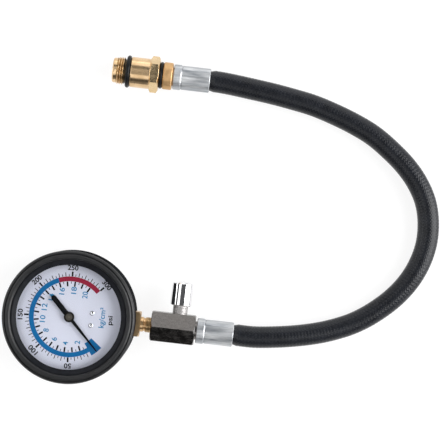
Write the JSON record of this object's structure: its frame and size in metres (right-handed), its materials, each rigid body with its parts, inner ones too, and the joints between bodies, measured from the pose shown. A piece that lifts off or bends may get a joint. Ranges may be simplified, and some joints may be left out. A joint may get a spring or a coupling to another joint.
{
  "type": "compression tester gauge",
  "caption": "Engine compression tester: dial gauge in a rubber boot, hexagon block with push-button pressure release, and a short hose ending in a screw-on brass spark plug adapter.",
  "frame": {"origin": "centre of the boot's flat back, on which the gauge lies", "axes": "+Z out of the dial, +X along the stem from the gauge to the block, +Y towards the release button"},
  "size_m": [0.2757, 0.218, 0.0349],
  "materials": {
    "boot_rubber": "matte moulded rubber",
    "case_black": "satin black paint",
    "bezel_black": "satin moulded plastic",
    "lens_clear": "clear and glossy",
    "dial_white": "white enamel",
    "ink_black": "printed ink",
    "ink_blue": "printed ink",
    "ink_red": "printed ink",
    "needle_black": "matte black paint",
    "hub_dark": "turned and darkened",
    "brass": "turned brass",
    "block_steel": "zinc-plated steel, grey",
    "chrome": "polished chrome plate",
    "ferrule_alu": "crimped, satin",
    "hose_rubber": "matte with a fine cloth mark",
    "seal_rubber": "smooth nitrile",
    "spring_steel": "drawn wire",
    "screw_steel": "zinc plate"
  },
  "bodies": {
    "root": {"rubber_boot": "boot_rubber", "gauge_case": "case_black", "bezel_ring": "bezel_black", "lens_gasket": "seal_rubber", "lens": "lens_clear", "dial": "dial_white", "dial_print_black": "ink_black", "dial_print_blue": "ink_blue", "dial_print_red": "ink_red", "dial_screws": "screw_steel", "movement_base_plate": "brass", "movement_top_plate": "brass", "movement_pillars": "brass", "dial_posts": "brass", "movement_screws": "screw_steel", "hairspring": "spring_steel", "pressure_tube": "brass", "stem_socket": "brass", "case_screws": "screw_steel", "valve_block": "block_steel", "release_valve_body": "block_steel", "release_spring": "spring_steel", "block_nipple": "block_steel", "block_ferrule": "ferrule_alu", "hose": "hose_rubber", "end_ferrule": "ferrule_alu", "hose_end_nipple": "brass", "nipple_seal_ring": "seal_rubber", "valve_core": "brass", "valve_core_spring": "spring_steel"},
    "needle_group": {"needle": "needle_black", "needle_hub": "hub_dark", "pinion_shaft": "brass"},
    "sector": {"sector_gear": "brass"},
    "link_group": {"tube_tip": "brass", "link": "brass"},
    "button_group": {"release_button": "chrome", "release_plunger": "screw_steel", "plunger_seal": "seal_rubber"},
    "core_pin": {"valve_core_pin": "screw_steel"},
    "adapter_ring": {"adapter_seal_ring": "seal_rubber"},
    "adapter": {"plug_adapter": "brass"}
  },
  "joints": [
    {"name": "needle_turn", "type": "hinge", "parent": "root", "child": "needle_group", "pos_m": [0, 0, 0.0257], "axis": [0, 0, -1], "range_deg": [0, 270]},
    {"name": "sector_swing", "type": "hinge", "parent": "root", "child": "sector", "pos_m": [-0.00602, 0.01568, 0.0165], "axis": [0, 0, 1], "range_deg": [0, 38.58]},
    {"name": "link_slide", "type": "slide", "parent": "root", "child": "link_group", "axis": [-1, 0, 0], "range_m": [0, 0.00363], "stiffness_N_per_m": 600, "deforming": ["pressure_tube", "hairspring"]},
    {"name": "release_press", "type": "slide", "parent": "root", "child": "button_group", "axis": [0, -1, 0], "range_m": [0, 0.0025], "stiffness_N_per_m": 1200, "deforming": ["release_spring"]},
    {"name": "core_pin_press", "type": "slide", "parent": "root", "child": "core_pin", "axis": [1, 0, 0], "range_m": [0, 0.0012], "stiffness_N_per_m": 400, "deforming": ["valve_core_spring"]},
    {"name": "adapter_advance", "type": "slide", "parent": "root", "child": "adapter_ring", "axis": [-1, 0, 0], "range_m": [0, 0.01001]},
    {"name": "adapter_unscrew", "type": "hinge", "parent": "adapter_ring", "child": "adapter", "pos_m": [0.01315, 0.163, 0.0106], "axis": [-1, 0, 0], "range_deg": [0, 2880]}
  ],
  "couplings": [
    {"joint": "sector_swing", "follows": "link_slide", "rad_per_m": 185.3},
    {"joint": "needle_turn", "follows": "link_slide", "rad_per_m": 1297.1},
    {"joint": "adapter_advance", "follows": "adapter_unscrew", "m_per_rad": 0.00019894}
  ]
}
